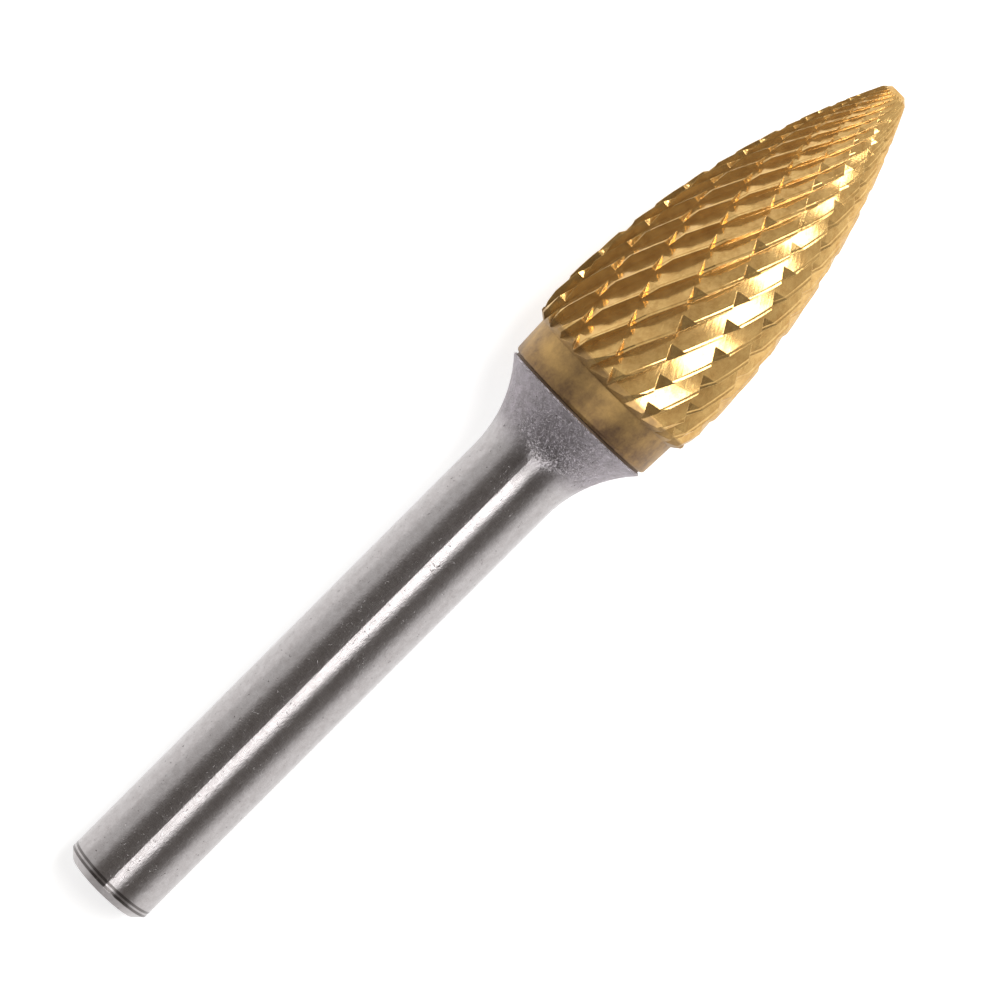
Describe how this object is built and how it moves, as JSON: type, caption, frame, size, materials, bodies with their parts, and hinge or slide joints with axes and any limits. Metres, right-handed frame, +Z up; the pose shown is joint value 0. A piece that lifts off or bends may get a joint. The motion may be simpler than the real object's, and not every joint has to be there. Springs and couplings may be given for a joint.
{
  "type": "carbide burr",
  "caption": "Pointed-tree rotary burr: gold-coated carbide head with double-cut helical teeth, brazed to a flared, plain round steel shank.",
  "frame": {"origin": "bottom centre of the bounding box, on the surface that the burr lies on", "axes": "+X horizontally along the tool towards the tip, +Z up; the tool's own axis rises towards the tip by about 3.9 degrees"},
  "size_m": [0.07, 0.0126, 0.0127],
  "materials": {
    "coated_carbide": "titanium-nitride coated, ground flutes, bright gold",
    "braze_alloy": "dull, darkened silver braze",
    "ground_steel": "cylindrically ground, bright"
  },
  "bodies": {
    "root": {"carbide_head": "coated_carbide", "braze_joint": "braze_alloy", "steel_shank": "ground_steel"}
  },
  "joints": []
}
